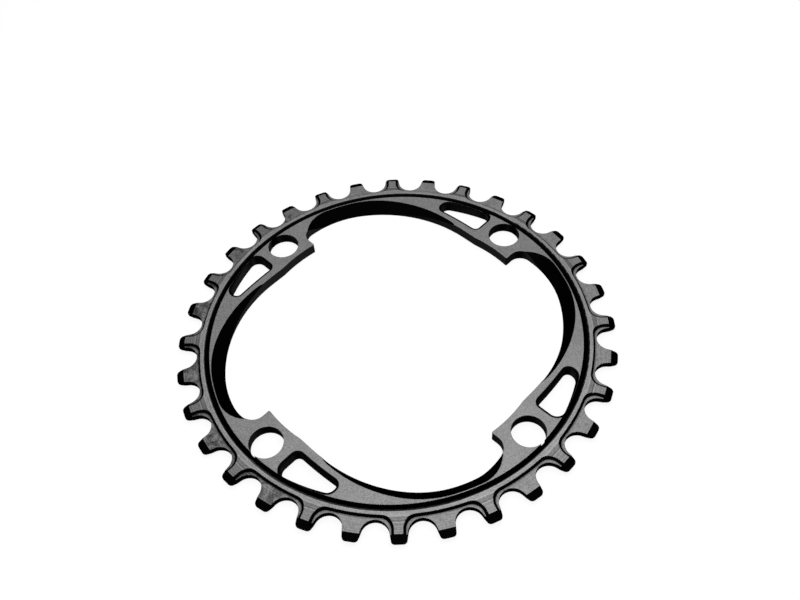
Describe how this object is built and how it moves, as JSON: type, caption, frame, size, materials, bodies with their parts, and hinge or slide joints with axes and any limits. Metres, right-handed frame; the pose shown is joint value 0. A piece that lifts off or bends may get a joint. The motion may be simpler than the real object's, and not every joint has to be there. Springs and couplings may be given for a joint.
{
  "type": "bicycle chainring",
  "caption": "Flat aluminium bicycle chainring with alternating wide and narrow teeth, a turned groove, bolt tabs with windows beside them and a swirled, bevelled inner edge.",
  "frame": {"origin": "on the axis of the ring, at its flat back face, on which it lies", "axes": "+Z along the axis towards the outside of the bicycle; the bolt holes lie halfway between X and Y; a wide tooth points along +X"},
  "size_m": [0.1342, 0.1342, 0.0036],
  "materials": {
    "anodised_aluminium": "black anodised over fine machining marks"
  },
  "bodies": {
    "root": {"chainring": "anodised_aluminium"}
  },
  "joints": []
}
